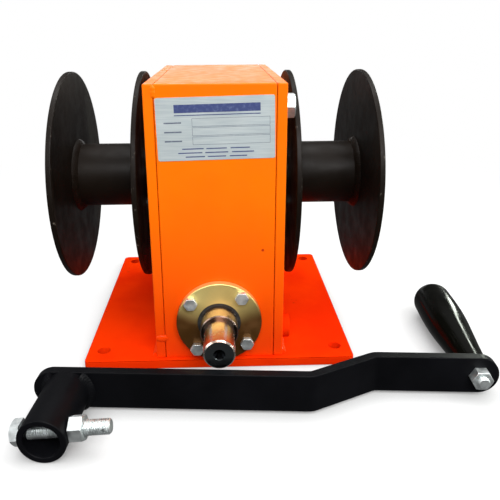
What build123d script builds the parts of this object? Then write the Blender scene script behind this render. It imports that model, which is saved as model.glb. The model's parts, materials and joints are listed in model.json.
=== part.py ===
from build123d import *
import os
from math import acos, atan, cos, pi, radians, sin, sqrt, tan

# A hand-cranked wire rope puller: a worm and wheel in a welded plate casing turn one
# shaft with a rope drum on each side. The crank is off its shaft and lies in front.
# X runs along the drum shaft, the input shaft points along -Y, and +Z is up.
# The origin is on the underside of the base plate, below the middle of the drum shaft.

# Base plate
base_width = 300
base_front_ledge = 6
base_rear_ledge = 23
base_thickness = 10
base_corner = 6
base_hole = 14
side_hole_inset = 18
front_hole_inset = 24
rear_hole_inset = 18

# Casing of flat plates, with its rooms round the tips of the wheel teeth
casing_width = 140
plate = 10
roof_room = 7
front_room = 19
rear_room = 7
seam_gap = 0.5
edge_break = 0.8
weld_leg = 5
bead_fullness = 0.6
bead_taper = 40

# Rear opening: a welded frame, a gasket and a bolted cover, set in from the side plates
frame_bar = 20
frame_thickness = 12
gasket_thickness = 1
cover_thickness = 8
cover_recess = 1
cover_bolt_rows = 4

# Worm gear
gear_module = 5
wheel_teeth = 40
worm_axis_height = 56.5
worm_pitch_diameter = 61
worm_length = 90
wheel_width = 40
pressure_angle = radians(20)
backlash = 0.3

# Input shaft, front to rear
handle_seat_diameter = 32
handle_seat_length = 41
journal_diameter = 40
journal_proud = 29
collar_diameter = 48
centre_hole = 12
shaft_chamfer = 1.5
step_chamfer = 1
worm_seat_diameter = 34
worm_key_width = 10
worm_key_height = 8
worm_key_depth = 5
worm_key_length = 70

# Bearing flanges of the input shaft
flange_diameter = 92
flange_thickness = 8
flange_bolt_circle = 77.5
flange_bolt_turn = 51
flange_sleeve = 50
sleeve_length = 35
rear_sleeve_length = 22
rear_bore_floor = 3
thrust_washer = 3
seal_diameter = 46.5
seal_depth = 6
seal_thickness = 5

# Drum shaft, its bearings and the wheel hub
drum_shaft_diameter = 45
housing_diameter = 98
housing_flange = 6
housing_sleeve = 62
housing_length = 20
housing_bolt_circle = 81
bush_diameter = 52
hub_diameter = 75
hub_width = 76
hub_web = 14
rim_wall = 5.75
rim_flange_thickness = 8
rim_bolt_inset = 6
rim_step = 13
wheel_bolt_count = 8
wheel_bolt_reach = 16
key_width = 14
key_height = 9
key_depth = 5.5
wheel_key_length = 60
spacer_diameter = 58
end_float = 0.5

# Rope drums
drum_gap = 12.5
drum_width = 80.5
drum_flange_diameter = 248
drum_flange_thickness = 6
barrel_diameter = 76
barrel_wall = 5
inner_hub_thickness = 12
outer_hub_thickness = 30
drum_key_length = 26
drum_key_inset = 1
end_washer_diameter = 58
end_washer_thickness = 6
end_bolt_length = 30
end_tapping_depth = 32
shaft_end_gap = 2
clamp_radius = 74
clamp_length = 42
clamp_width = 20
clamp_thickness = 9
clamp_corner = 3
rope_diameter = 10
rope_hole = 13

# Plugs and rating plate
filler_from_top = 27
filler_from_front = 41
filler_washer_diameter = 29
filler_washer_thickness = 2
drain_above_base = 27
drain_from_front = 19
drain_thread = 12
drain_diameter = 26
drain_cap = 9
drain_round = 2
label_width = 116
label_height = 62
label_thickness = 0.5
label_corner = 2
label_from_top = 43
label_tilt = 1.2

# Crank
crank_yaw = -4
crank_left = -149
crank_gap = 3
crank_throw = 410
arm_height = 40
arm_thickness = 10
arm_overhang = 14
arm_offset = 36
joggle_start = 240
joggle_end = 306
bend_radius = 10
socket_diameter = 44
socket_bore = 32.5
socket_length = 72.5
cross_bolt_from_mouth = 16
cross_bolt_length = 80
cross_bolt_roll = 6
cross_hole = 15
cotter_hole = 4
cotter_from_end = 6

# Revolving grip
grip_length = 168
grip_root_diameter = 28
grip_root_edge = 2
grip_waist_diameter = 38
grip_waist_at = 55
grip_diameter = 46
grip_widest_at = 115
grip_end_diameter = 45.2
grip_dome = 18
spindle_diameter = 12
spindle_chamfer = 1
spindle_washer_diameter = 24
spindle_washer_thickness = 2.5
spindle_head_diameter = 18
spindle_head_height = 8
spindle_pocket = 12
spindle_pocket_diameter = 20
stud_end = 4
grip_float = 0.3

# Fasteners: across flats, head height and nut height for each thread
small_thread = 8
end_thread = 12
cross_thread = 14
filler_thread = 18
hex_flats = {8: 13, 12: 19, 14: 21, 18: 24}
hex_head = {8: 5.3, 12: 7.5, 14: 8.8, 18: 10}
hex_nut = {12: 10.4, 14: 12.8}

# Clearances, on diameter unless they say otherwise
thread_clearance = 0.2
seat_clearance = 0.1
running_clearance = 0.1
washer_clearance = 0.4
key_clearance = 0.1

# Worked out from the sizes above
wheel_pitch_radius = gear_module * wheel_teeth / 2
worm_pitch_radius = worm_pitch_diameter / 2
worm_lead = pi * gear_module
lead_angle = atan(worm_lead / (pi * worm_pitch_diameter))
addendum = gear_module
dedendum = 1.25 * gear_module
wheel_tip = wheel_pitch_radius + addendum
drum_axis_height = worm_axis_height + worm_pitch_radius + wheel_pitch_radius
rim_flange_diameter = 2 * (wheel_pitch_radius - dedendum - rim_wall)
wheel_bolt_circle = rim_flange_diameter - 2 * rim_bolt_inset
rim_bore = rim_flange_diameter - 2 * rim_step
side_outer = casing_width / 2
side_inner = side_outer - plate
front_inner = -wheel_tip - front_room
casing_front = front_inner - plate
frame_face = wheel_tip + rear_room + frame_thickness
cover_back = frame_face + gasket_thickness
cover_face = cover_back + cover_thickness
casing_rear = cover_face + cover_recess
casing_depth = casing_rear - casing_front
casing_middle = (casing_rear + casing_front) / 2
roof = drum_axis_height + wheel_tip + roof_room
casing_top = roof + plate
casing_height = casing_top - base_thickness
base_front = casing_front - base_front_ledge
base_rear = casing_rear + base_rear_ledge
inset_width = 2 * (side_inner - seam_gap)
front_flange_face = casing_front - flange_thickness
journal_front = casing_front - journal_proud
shaft_front = journal_front - handle_seat_length
front_sleeve_end = casing_front + sleeve_length
collar_front = front_sleeve_end + thrust_washer
rear_sleeve_end = cover_face - rear_sleeve_length
rear_washer_front = rear_sleeve_end - thrust_washer
rear_flange_face = cover_face + flange_thickness
rear_bore_end = rear_flange_face - rear_bore_floor
bush_inner = side_outer - housing_length
housing_face = side_outer + housing_flange
inner_flange_back = side_outer + drum_gap
barrel_start = inner_flange_back + drum_flange_thickness
barrel_end = barrel_start + drum_width
outer_flange_face = barrel_end + drum_flange_thickness
shaft_half_length = outer_flange_face - shaft_end_gap
small_hole = small_thread + thread_clearance
crank_front = shaft_front - crank_gap
filler_height = casing_top - filler_from_top
drain_height = base_thickness + drain_above_base
crank_axis_height = socket_diameter / 2
arm_axis_height = grip_diameter / 2
arm_bottom = arm_axis_height - arm_height / 2
grip_start = arm_offset + arm_thickness + spindle_washer_thickness + grip_float

os.makedirs("parts", exist_ok=True)


def save(piece, name):
    """Label one finished piece and write it as a STEP file."""
    piece.label = name
    export_step(piece, "parts/" + name + ".step")


def group(name, piece, places):
    """Save copies of one piece at several places as one node of separate solids."""
    with BuildPart() as copies:
        with Locations(*places):
            add(piece)
    save(copies.part, name)


def across(x, y, z, side):
    """A plane at x whose normal points along +X for side 1 and along -X for side -1."""
    return Plane(origin=(x, y, z), x_dir=(0, 1, 0), z_dir=(side, 0, 0))


def along(x, y, z, way):
    """A plane at y whose normal points along +Y for way 1 and along -Y for way -1."""
    return Plane(origin=(x, y, z), x_dir=(1, 0, 0), z_dir=(0, way, 0))


def ring(plane, outer, inner, length):
    """A plain ring or tube that stands on a plane."""
    with BuildPart() as body:
        with BuildSketch(plane):
            Circle(outer / 2)
            Circle(inner / 2, mode=Mode.SUBTRACT)
        extrude(amount=length)
    return body.part


def hexagon(size, height):
    """A hexagon blank from z = 0 up, with its top corners turned off."""
    corner = hex_flats[size] / sqrt(3)
    chamfer_run = corner - 0.95 * hex_flats[size] / 2
    with BuildPart() as blank:
        with BuildSketch():
            RegularPolygon(radius=hex_flats[size] / 2, side_count=6, major_radius=False)
        extrude(amount=height)
        with BuildSketch(Plane.XZ):
            with BuildLine():
                Polyline(
                    (0, 0),
                    (corner, 0),
                    (corner, height - chamfer_run * tan(radians(30))),
                    (corner - chamfer_run, height),
                    (0, height),
                    close=True,
                )
            make_face()
        revolve(axis=Axis.Z, mode=Mode.INTERSECT)
    return blank.part


def hex_bolt(size, length):
    """A hex bolt: the head stands on z = 0 and the shank hangs below it."""
    with BuildPart() as bolt:
        add(hexagon(size, hex_head[size]))
        Cylinder(size / 2, length, align=(Align.CENTER, Align.CENTER, Align.MAX))
        chamfer(bolt.edges().sort_by(Axis.Z)[0], size / 12)
    return bolt.part


def hex_nut_piece(size):
    """A hex nut that stands on z = 0."""
    with BuildPart() as nut:
        add(hexagon(size, hex_nut[size]))
        Cylinder((size + thread_clearance) / 2, 3 * hex_nut[size], mode=Mode.SUBTRACT)
    return nut.part


def base_plate():
    """The thick base plate with its four holding-down holes."""
    hole_x = base_width / 2 - side_hole_inset
    front_y = base_front + front_hole_inset
    rear_y = base_rear - rear_hole_inset
    with BuildPart() as body:
        with BuildSketch():
            with Locations((0, (base_rear + base_front) / 2)):
                RectangleRounded(base_width, base_rear - base_front, base_corner)
            with Locations(*[(x, y) for x in (-hole_x, hole_x) for y in (front_y, rear_y)]):
                Circle(base_hole / 2, mode=Mode.SUBTRACT)
        extrude(amount=base_thickness)
        chamfer(body.faces().sort_by(Axis.Z)[-1].outer_wire().edges(), edge_break)
    save(body.part, "base_plate")


def side_plate(name, side, with_plugs):
    """One full-size side plate with the hole and bolts of its bearing housing."""
    middle = base_thickness + casing_height / 2
    with BuildPart() as body:
        with BuildSketch(across(side * side_inner, casing_middle, middle, side)):
            Rectangle(casing_depth, casing_height)
        extrude(amount=plate)
        chamfer(body.edges(), edge_break)
        with BuildSketch(across(side * side_inner, 0, drum_axis_height, side)):
            Circle((housing_sleeve + seat_clearance) / 2)
            with PolarLocations(housing_bolt_circle / 2, 4, start_angle=45):
                Circle(small_hole / 2)
        extrude(amount=plate, mode=Mode.SUBTRACT)
        if with_plugs:
            with BuildSketch(across(side * side_inner, 0, 0, side)):
                with Locations((casing_front + filler_from_front, side * filler_height)):
                    Circle((filler_thread + thread_clearance) / 2)
                with Locations((casing_front + drain_from_front, side * drain_height)):
                    Circle((drain_thread + thread_clearance) / 2)
            extrude(amount=plate, mode=Mode.SUBTRACT)
    save(body.part, name)


def front_plate():
    """The front plate between the side plates, bored for the front bearing flange."""
    middle = base_thickness + casing_height / 2
    with BuildPart() as body:
        with BuildSketch(along(0, front_inner, middle, -1)):
            Rectangle(inset_width, casing_height)
        extrude(amount=plate)
        chamfer(body.edges(), edge_break)
        with BuildSketch(along(0, front_inner, worm_axis_height, -1)):
            Circle((flange_sleeve + seat_clearance) / 2)
            with PolarLocations(flange_bolt_circle / 2, 4, start_angle=flange_bolt_turn):
                Circle(small_hole / 2)
        extrude(amount=plate, mode=Mode.SUBTRACT)
    save(body.part, "front_plate")


def top_plate():
    """The roof plate, level with the top edges of the side plates."""
    start = front_inner + seam_gap
    with BuildPart() as body:
        with BuildSketch(Plane.XY.offset(roof)):
            with Locations((0, (start + casing_rear) / 2)):
                Rectangle(inset_width, casing_rear - start)
        extrude(amount=plate)
        chamfer(body.edges(), edge_break)
    save(body.part, "top_plate")


def cover_bolt_spots():
    """Places of the cover bolts in the XZ plane, along the two upright frame bars."""
    low = base_thickness + frame_bar / 2
    step = (roof - frame_bar / 2 - low) / (cover_bolt_rows - 1)
    across_bars = side_inner - frame_bar / 2
    return [(s * across_bars, low + row * step) for s in (-1, 1) for row in range(cover_bolt_rows)]


def cover_layer(plane_y, thickness, opening, gap):
    """One layer of the rear opening: a rectangle, open in the middle or closed."""
    middle = (base_thickness + roof) / 2
    height = roof - base_thickness
    with BuildPart() as body:
        with BuildSketch(along(0, plane_y, 0, -1)):
            with Locations((0, middle)):
                Rectangle(2 * (side_inner - gap), height - 2 * gap)
                if opening:
                    Rectangle(
                        2 * (side_inner - frame_bar), height - 2 * frame_bar, mode=Mode.SUBTRACT
                    )
            with Locations(*cover_bolt_spots()):
                Circle(small_hole / 2, mode=Mode.SUBTRACT)
            if not opening:
                with Locations((0, worm_axis_height)):
                    Circle((flange_sleeve + seat_clearance) / 2, mode=Mode.SUBTRACT)
                    with PolarLocations(flange_bolt_circle / 2, 4, start_angle=flange_bolt_turn):
                        Circle(small_hole / 2, mode=Mode.SUBTRACT)
        extrude(amount=thickness)
    return body.part


def rear_closure():
    """The welded frame, the gasket, the cover and the cover's bolts."""
    save(cover_layer(frame_face, frame_thickness, True, 0), "rear_frame")
    save(cover_layer(cover_back, gasket_thickness, True, seam_gap), "cover_gasket")
    save(cover_layer(cover_face, cover_thickness, False, seam_gap), "rear_cover")
    length = cover_thickness + gasket_thickness + frame_thickness - cover_recess
    spots = [along(x, cover_face, z, 1).location for x, z in cover_bolt_spots()]
    group("rear_cover_bolts", hex_bolt(small_thread, length), spots)


def casing_welds():
    """Fillet beads along the feet of both side plates."""
    with BuildPart() as beads:
        for side in (-1, 1):
            with BuildSketch(along(0, casing_rear - weld_leg, 0, -1)):
                with BuildLine():
                    foot = (side * (side_outer + weld_leg), base_thickness)
                    corner = (side * side_outer, base_thickness)
                    shoulder = (side * side_outer, base_thickness + weld_leg)
                    Line(foot, corner)
                    Line(corner, shoulder)
                    face = bead_fullness * weld_leg
                    belly = (side * (side_outer + face), base_thickness + face)
                    ThreePointArc(shoulder, belly, foot)
                make_face()
            extrude(amount=casing_depth - 2 * weld_leg)
    save(beads.part, "casing_welds")


def bearing_flange(way, face_y, sleeve, bore_diameter, bore_end, seal_pocket):
    """A brass flange with a sleeve that runs inwards. The bore starts at the sleeve's end."""
    outer_y = face_y + way * flange_thickness
    with BuildPart() as body:
        with BuildSketch(along(0, face_y, worm_axis_height, way)):
            Circle(flange_diameter / 2)
            with PolarLocations(flange_bolt_circle / 2, 4, start_angle=-way * flange_bolt_turn):
                Circle(small_hole / 2, mode=Mode.SUBTRACT)
        extrude(amount=flange_thickness)
        outer_edges = body.faces().sort_by(Axis.Y)[0 if way < 0 else -1].outer_wire().edges()
        chamfer(outer_edges, edge_break)
        with BuildSketch(along(0, face_y, worm_axis_height, -way)):
            Circle(flange_sleeve / 2)
        extrude(amount=sleeve)
        with BuildSketch(along(0, face_y - way * sleeve, worm_axis_height, way)):
            Circle((bore_diameter + running_clearance) / 2)
        extrude(amount=sleeve + bore_end, mode=Mode.SUBTRACT)
        if seal_pocket:
            with BuildSketch(along(0, outer_y, worm_axis_height, -way)):
                Circle(seal_diameter / 2)
            extrude(amount=seal_pocket, mode=Mode.SUBTRACT)
    return body.part


def input_bearings():
    """Both bearing flanges of the input shaft, with bolts, seal and thrust washers."""
    front = bearing_flange(
        -1, casing_front, sleeve_length, journal_diameter, flange_thickness, seal_depth
    )
    save(front, "front_bearing_flange")
    blind_bore = rear_bore_end - cover_face
    rear = bearing_flange(1, cover_face, rear_sleeve_length, worm_seat_diameter, blind_bore, 0)
    save(rear, "rear_bearing_flange")

    seal_front = front_flange_face + seal_depth - seal_thickness
    seal = ring(
        along(0, seal_front, worm_axis_height, 1),
        seal_diameter - seat_clearance,
        journal_diameter + running_clearance,
        seal_thickness,
    )
    save(seal, "front_shaft_seal")

    with BuildPart() as washers:
        for start, way, shaft in (
            (front_sleeve_end, 1, journal_diameter),
            (rear_sleeve_end, -1, worm_seat_diameter),
        ):
            plane = along(0, start, worm_axis_height, way)
            add(ring(plane, flange_sleeve, shaft + washer_clearance, thrust_washer))
    save(washers.part, "thrust_washers")

    turns = [radians(flange_bolt_turn + 90 * k) for k in range(4)]
    reach_out = flange_bolt_circle / 2
    spots = [(reach_out * cos(t), worm_axis_height + reach_out * sin(t)) for t in turns]
    for name, face, way, reach in (
        ("front_flange_bolts", front_flange_face, -1, plate),
        ("rear_flange_bolts", rear_flange_face, 1, cover_thickness),
    ):
        places = [along(x, face, z, way).location for x, z in spots]
        group(name, hex_bolt(small_thread, flange_thickness + reach), places)


def worm_shaft():
    """The turned input shaft: handle seat, journal, thrust collar and worm seat."""
    steps = [
        (shaft_front, handle_seat_diameter),
        (journal_front, journal_diameter),
        (collar_front, collar_diameter),
        (-worm_length / 2, worm_seat_diameter),
    ]
    shaft_rear = rear_bore_end - end_float
    ends = [start for start, _ in steps[1:]] + [shaft_rear]
    with BuildPart() as body:
        for (start, diameter), end in zip(steps, ends):
            with BuildSketch(along(0, start, worm_axis_height, 1)):
                Circle(diameter / 2)
            extrude(amount=end - start)
        rims = body.edges().filter_by(GeomType.CIRCLE)
        journal_rims = rims.filter_by_position(Axis.Y, journal_front - 0.1, journal_front + 0.1)
        chamfer(journal_rims.sort_by(SortBy.RADIUS)[-1], step_chamfer)
        chamfer(body.edges().filter_by(GeomType.CIRCLE).sort_by(Axis.Y)[0], shaft_chamfer)
        chamfer(body.edges().filter_by(GeomType.CIRCLE).sort_by(Axis.Y)[-1], shaft_chamfer)
        with Locations(along(0, shaft_front, worm_axis_height, 1).location):
            Cone(
                centre_hole / 2,
                0,
                centre_hole / 2 / tan(radians(30)),
                align=(Align.CENTER, Align.CENTER, Align.MIN),
                mode=Mode.SUBTRACT,
            )
        bolt_y = journal_front - cross_bolt_from_mouth
        with BuildSketch(across(0, bolt_y, worm_axis_height, 1)):
            Circle(cross_hole / 2)
        extrude(amount=handle_seat_diameter, both=True, mode=Mode.SUBTRACT)
        slot_floor = worm_axis_height + worm_seat_diameter / 2 - worm_key_depth
        with BuildSketch(Plane.XY.offset(slot_floor)):
            Rectangle(worm_key_width + key_clearance, worm_key_length + key_clearance)
        extrude(amount=worm_key_height, mode=Mode.SUBTRACT)
    save(body.part, "worm_shaft")

    with BuildPart() as key:
        with BuildSketch(Plane.XY.offset(slot_floor)):
            Rectangle(worm_key_width, worm_key_length)
        extrude(amount=worm_key_height)
    save(key.part, "worm_key")

    rear_end = rear_washer_front
    spacer = ring(
        along(0, worm_length / 2, worm_axis_height, 1),
        collar_diameter,
        worm_seat_diameter + thread_clearance,
        rear_end - worm_length / 2,
    )
    save(spacer, "worm_spacer")


def worm():
    """A single-start right-hand worm, built along +Z and then laid along the input shaft."""
    tip = worm_pitch_radius + addendum
    root = worm_pitch_radius - dedendum
    half_thickness = (worm_lead / 2 - backlash) / 2
    turns_each_way = int(worm_length / 2 / worm_lead) + 2
    start = -turns_each_way * worm_lead
    root_half = half_thickness + (dedendum + 1) * tan(pressure_angle)
    tip_half = half_thickness - addendum * tan(pressure_angle)
    with BuildPart() as body:
        with BuildLine():
            Helix(worm_lead, -2 * start, worm_pitch_radius, center=(0, 0, start))
        with BuildSketch(Plane.XZ):
            with BuildLine():
                Polyline(
                    (root - 1, start - root_half),
                    (tip, start - tip_half),
                    (tip, start + tip_half),
                    (root - 1, start + root_half),
                    close=True,
                )
            make_face()
        sweep(is_frenet=True)
        Cylinder(root, -2 * start + 2 * worm_lead)
        Cylinder(tip + 1, worm_length, mode=Mode.INTERSECT)
        Cylinder((worm_seat_diameter + running_clearance) / 2, worm_length, mode=Mode.SUBTRACT)
        keyway_top = worm_seat_diameter / 2 - worm_key_depth + worm_key_height + key_clearance
        with Locations((keyway_top / 2, 0, 0)):
            Box(keyway_top, worm_key_width + key_clearance, worm_length, mode=Mode.SUBTRACT)
    lay = Plane(origin=(0, 0, worm_axis_height), x_dir=(0, 0, 1), z_dir=(0, 1, 0))
    save(body.part.moved(lay.location), "worm")


def tooth_angle(radius):
    """Half the angle that a wheel tooth fills at a radius, on an involute flank."""
    base_radius = wheel_pitch_radius * cos(pressure_angle)
    angle = acos(min(1.0, base_radius / radius))
    pitch_half = (worm_lead / 2 - backlash) / 2 / wheel_pitch_radius
    involute = tan(angle) - angle
    return pitch_half + tan(pressure_angle) - pressure_angle - involute


def wheel_outline(x, twist):
    """The toothed outline at one end face of the rim, turned by the helix twist."""
    tip = wheel_pitch_radius + addendum
    root = wheel_pitch_radius - dedendum
    plane = Plane(
        origin=(x, 0, drum_axis_height), x_dir=(0, cos(twist), sin(twist)), z_dir=(1, 0, 0)
    )

    def spot(radius, angle):
        return (radius * cos(angle), radius * sin(angle))

    with BuildSketch(plane) as outline:
        with BuildLine():
            for tooth in range(wheel_teeth):
                middle = -pi / 2 + (tooth + 0.5) * 2 * pi / wheel_teeth
                following = middle + 2 * pi / wheel_teeth
                low = tooth_angle(root)
                mid = tooth_angle(wheel_pitch_radius)
                high = tooth_angle(tip)
                ThreePointArc(
                    spot(root, middle - low),
                    spot(wheel_pitch_radius, middle - mid),
                    spot(tip, middle - high),
                )
                Line(spot(tip, middle - high), spot(tip, middle + high))
                ThreePointArc(
                    spot(tip, middle + high),
                    spot(wheel_pitch_radius, middle + mid),
                    spot(root, middle + low),
                )
                Line(spot(root, middle + low), spot(root, following - low))
        make_face()
    return outline.sketch


def worm_wheel():
    """The toothed bronze rim on its cast hub, with the bolts, key and spacers."""
    half = wheel_width / 2
    twist = half * tan(lead_angle) / wheel_pitch_radius
    faces = [wheel_outline(-half, -twist), wheel_outline(half, twist)]
    with BuildPart() as rim:
        add(faces)
        loft(ruled=True)
        with BuildSketch(across(-half, 0, drum_axis_height, 1)):
            Circle((rim_bore + seat_clearance) / 2)
            with PolarLocations(wheel_bolt_circle / 2, wheel_bolt_count):
                Circle(small_hole / 2)
        extrude(amount=wheel_width, mode=Mode.SUBTRACT)
    save(rim.part, "worm_wheel_rim")

    with BuildPart() as hub:
        for start, length, diameter in (
            (-hub_width / 2, hub_width, hub_diameter),
            (-hub_web / 2, hub_web, rim_bore),
            (half, rim_flange_thickness, rim_flange_diameter),
        ):
            with BuildSketch(across(start, 0, drum_axis_height, 1)):
                Circle(diameter / 2)
            extrude(amount=length)
        with BuildSketch(across(-half, 0, drum_axis_height, 1)):
            Circle(rim_bore / 2)
            Circle(rim_bore / 2 - plate, mode=Mode.SUBTRACT)
        extrude(amount=wheel_width)
        with BuildSketch(across(half, 0, drum_axis_height, 1)):
            Circle(rim_bore / 2 - plate)
            Circle(hub_diameter / 2, mode=Mode.SUBTRACT)
        extrude(amount=rim_flange_thickness, mode=Mode.SUBTRACT)
        with BuildSketch(across(half, 0, drum_axis_height, 1)):
            with PolarLocations(wheel_bolt_circle / 2, wheel_bolt_count):
                Circle(small_hole / 2)
        extrude(amount=rim_flange_thickness, mode=Mode.SUBTRACT)
        cut_shaft_hole(-hub_width / 2, hub_width)
    save(hub.part, "worm_wheel_hub")

    bolt = hex_bolt(small_thread, rim_flange_thickness + wheel_bolt_reach)
    spots = polar_spots(half + rim_flange_thickness, wheel_bolt_circle, wheel_bolt_count, 0, 1)
    group("wheel_bolts", bolt, spots)


def polar_spots(x, circle, count, start, side):
    """Locations round the drum axis at x, each facing outwards along the axis."""
    turns = [radians(start + 360 / count * k) for k in range(count)]
    return [
        across(x, circle / 2 * cos(t), drum_axis_height + circle / 2 * sin(t), side).location
        for t in turns
    ]


def drum_key(start, length, clearance, mode):
    """Add or cut one key's space, on top of the drum shaft, in the active part."""
    floor = drum_axis_height + drum_shaft_diameter / 2 - key_depth
    with Locations((start + length / 2, 0, floor)):
        Box(
            length,
            key_width + clearance,
            key_height + clearance,
            align=(Align.CENTER, Align.CENTER, Align.MIN),
            mode=mode,
        )


def cut_shaft_hole(start, length):
    """Cut the drum shaft's bore and its keyway through a hub in the active part."""
    with Locations(across(start, 0, drum_axis_height, 1).location):
        Cylinder(
            (drum_shaft_diameter + seat_clearance) / 2,
            length,
            align=(Align.CENTER, Align.CENTER, Align.MIN),
            mode=Mode.SUBTRACT,
        )
    drum_key(start, length, key_clearance, Mode.SUBTRACT)


def drum_shaft():
    """The through shaft with its three keyways, and the keys and spacers on it."""
    key_start = barrel_end - drum_key_length - drum_key_inset
    with BuildPart() as body:
        with BuildSketch(across(-shaft_half_length, 0, drum_axis_height, 1)):
            Circle(drum_shaft_diameter / 2)
        extrude(amount=2 * shaft_half_length)
        chamfer(body.edges().filter_by(GeomType.CIRCLE), shaft_chamfer)
        drum_key(-wheel_key_length / 2, wheel_key_length, key_clearance, Mode.SUBTRACT)
        slot = shaft_half_length - key_start
        drum_key(key_start, slot, key_clearance, Mode.SUBTRACT)
        drum_key(-shaft_half_length, slot, key_clearance, Mode.SUBTRACT)
        for side in (-1, 1):
            with BuildSketch(across(side * shaft_half_length, 0, drum_axis_height, -side)):
                Circle((end_thread + thread_clearance) / 2)
            extrude(amount=end_tapping_depth, mode=Mode.SUBTRACT)
    save(body.part, "drum_shaft")

    with BuildPart() as middle_key:
        drum_key(-wheel_key_length / 2, wheel_key_length, 0, Mode.ADD)
    save(middle_key.part, "wheel_key")
    with BuildPart() as keys:
        drum_key(key_start, drum_key_length, 0, Mode.ADD)
        drum_key(-key_start - drum_key_length, drum_key_length, 0, Mode.ADD)
    save(keys.part, "drum_keys")

    spacer_bore = drum_shaft_diameter + thread_clearance
    for name, start, length in (
        ("wheel_spacers", hub_width / 2, bush_inner - hub_width / 2 - end_float),
        ("drum_spacers", housing_face + end_float, inner_flange_back - housing_face - end_float),
    ):
        with BuildPart() as pair:
            for side in (-1, 1):
                plane = across(side * start, 0, drum_axis_height, side)
                add(ring(plane, spacer_diameter, spacer_bore, length))
        save(pair.part, name)


def drum_bearings():
    """Bolted bearing housings in both side plates, with their bronze bushes."""
    for name, side in (("left", -1), ("right", 1)):
        with BuildPart() as housing:
            with BuildSketch(across(side * side_outer, 0, drum_axis_height, side)):
                Circle(housing_diameter / 2)
                with PolarLocations(housing_bolt_circle / 2, 4, start_angle=45):
                    Circle(small_hole / 2, mode=Mode.SUBTRACT)
            extrude(amount=housing_flange)
            with BuildSketch(across(side * side_outer, 0, drum_axis_height, -side)):
                Circle(housing_sleeve / 2)
            extrude(amount=side_outer - bush_inner)
            with BuildSketch(across(side * bush_inner, 0, drum_axis_height, side)):
                Circle((bush_diameter + seat_clearance) / 2)
            extrude(amount=housing_face - bush_inner, mode=Mode.SUBTRACT)
        save(housing.part, name + "_bearing_housing")

    with BuildPart() as bushes:
        for side in (-1, 1):
            plane = across(side * bush_inner, 0, drum_axis_height, side)
            bore = drum_shaft_diameter + running_clearance
            add(ring(plane, bush_diameter, bore, housing_face - bush_inner))
    save(bushes.part, "drum_bushes")

    bolt = hex_bolt(small_thread, housing_flange + plate)
    spots = polar_spots(-housing_face, housing_bolt_circle, 4, 45, -1)
    spots += polar_spots(housing_face, housing_bolt_circle, 4, 45, 1)
    group("housing_bolts", bolt, spots)


def drum_weld(side, x, way):
    """A fillet bead round the barrel's end at x, on the side that way points to."""
    barrel = barrel_diameter / 2
    plane = Plane(origin=(side * x, 0, drum_axis_height), x_dir=(side * way, 0, 0), z_dir=(0, -1, 0))
    rise = 1 if plane.y_dir.Z > 0 else -1
    with BuildPart() as bead:
        with BuildSketch(plane):
            with BuildLine():
                toe = (weld_leg, rise * barrel)
                corner = (0, rise * barrel)
                shoulder = (0, rise * (barrel + weld_leg))
                Line(toe, corner)
                Line(corner, shoulder)
                face = bead_fullness * weld_leg
                ThreePointArc(shoulder, (face, rise * (barrel + face)), toe)
            make_face()
        revolve(axis=Axis((0, 0, drum_axis_height), (1, 0, 0)))
    return bead.part


def drum_plane(side, x):
    """The plane across the drum axis at x on one side, facing outwards."""
    return across(side * x, 0, drum_axis_height, side)


def rope_drum(name, side):
    """One drum: barrel, two flanges, two hubs and the beads that join them."""
    barrel_bore = barrel_diameter - 2 * barrel_wall
    barrel = ring(drum_plane(side, barrel_start), barrel_diameter, barrel_bore, drum_width)
    save(barrel, name + "_drum_barrel")

    shaft_hole = drum_shaft_diameter + seat_clearance
    for label, x in (("_inner_flange", inner_flange_back), ("_outer_flange", barrel_end)):
        with BuildPart() as flange:
            with BuildSketch(drum_plane(side, x)):
                Circle(drum_flange_diameter / 2)
                Circle(shaft_hole / 2, mode=Mode.SUBTRACT)
            extrude(amount=drum_flange_thickness)
            rim_edges = flange.edges().filter_by(GeomType.CIRCLE).sort_by(SortBy.RADIUS)[-2:]
            chamfer(rim_edges, edge_break)
            if label == "_outer_flange":
                start = x if side > 0 else -x - drum_flange_thickness
                drum_key(start, drum_flange_thickness, key_clearance, Mode.SUBTRACT)
                with BuildSketch(drum_plane(side, x)):
                    with Locations((barrel_diameter / 2 + rope_hole, 0)):
                        Circle(rope_hole / 2)
                    for offset in (-clamp_length / 4, clamp_length / 4):
                        with Locations((clamp_radius, offset)):
                            Circle(small_hole / 2)
                extrude(amount=drum_flange_thickness, mode=Mode.SUBTRACT)
        save(flange.part, name + label)

    hub_outer = barrel_bore - seat_clearance
    with BuildPart() as hubs:
        inner = drum_plane(side, barrel_start)
        outer = drum_plane(side, barrel_end - outer_hub_thickness)
        add(ring(inner, hub_outer, shaft_hole, inner_hub_thickness))
        add(ring(outer, hub_outer, shaft_hole, outer_hub_thickness))
        start = barrel_end - outer_hub_thickness if side > 0 else -barrel_end
        drum_key(start, outer_hub_thickness, key_clearance, Mode.SUBTRACT)
    save(hubs.part, name + "_drum_hubs")

    with BuildPart() as welds:
        add(drum_weld(side, barrel_start, 1))
        add(drum_weld(side, barrel_end, -1))
    save(welds.part, name + "_drum_welds")


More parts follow.
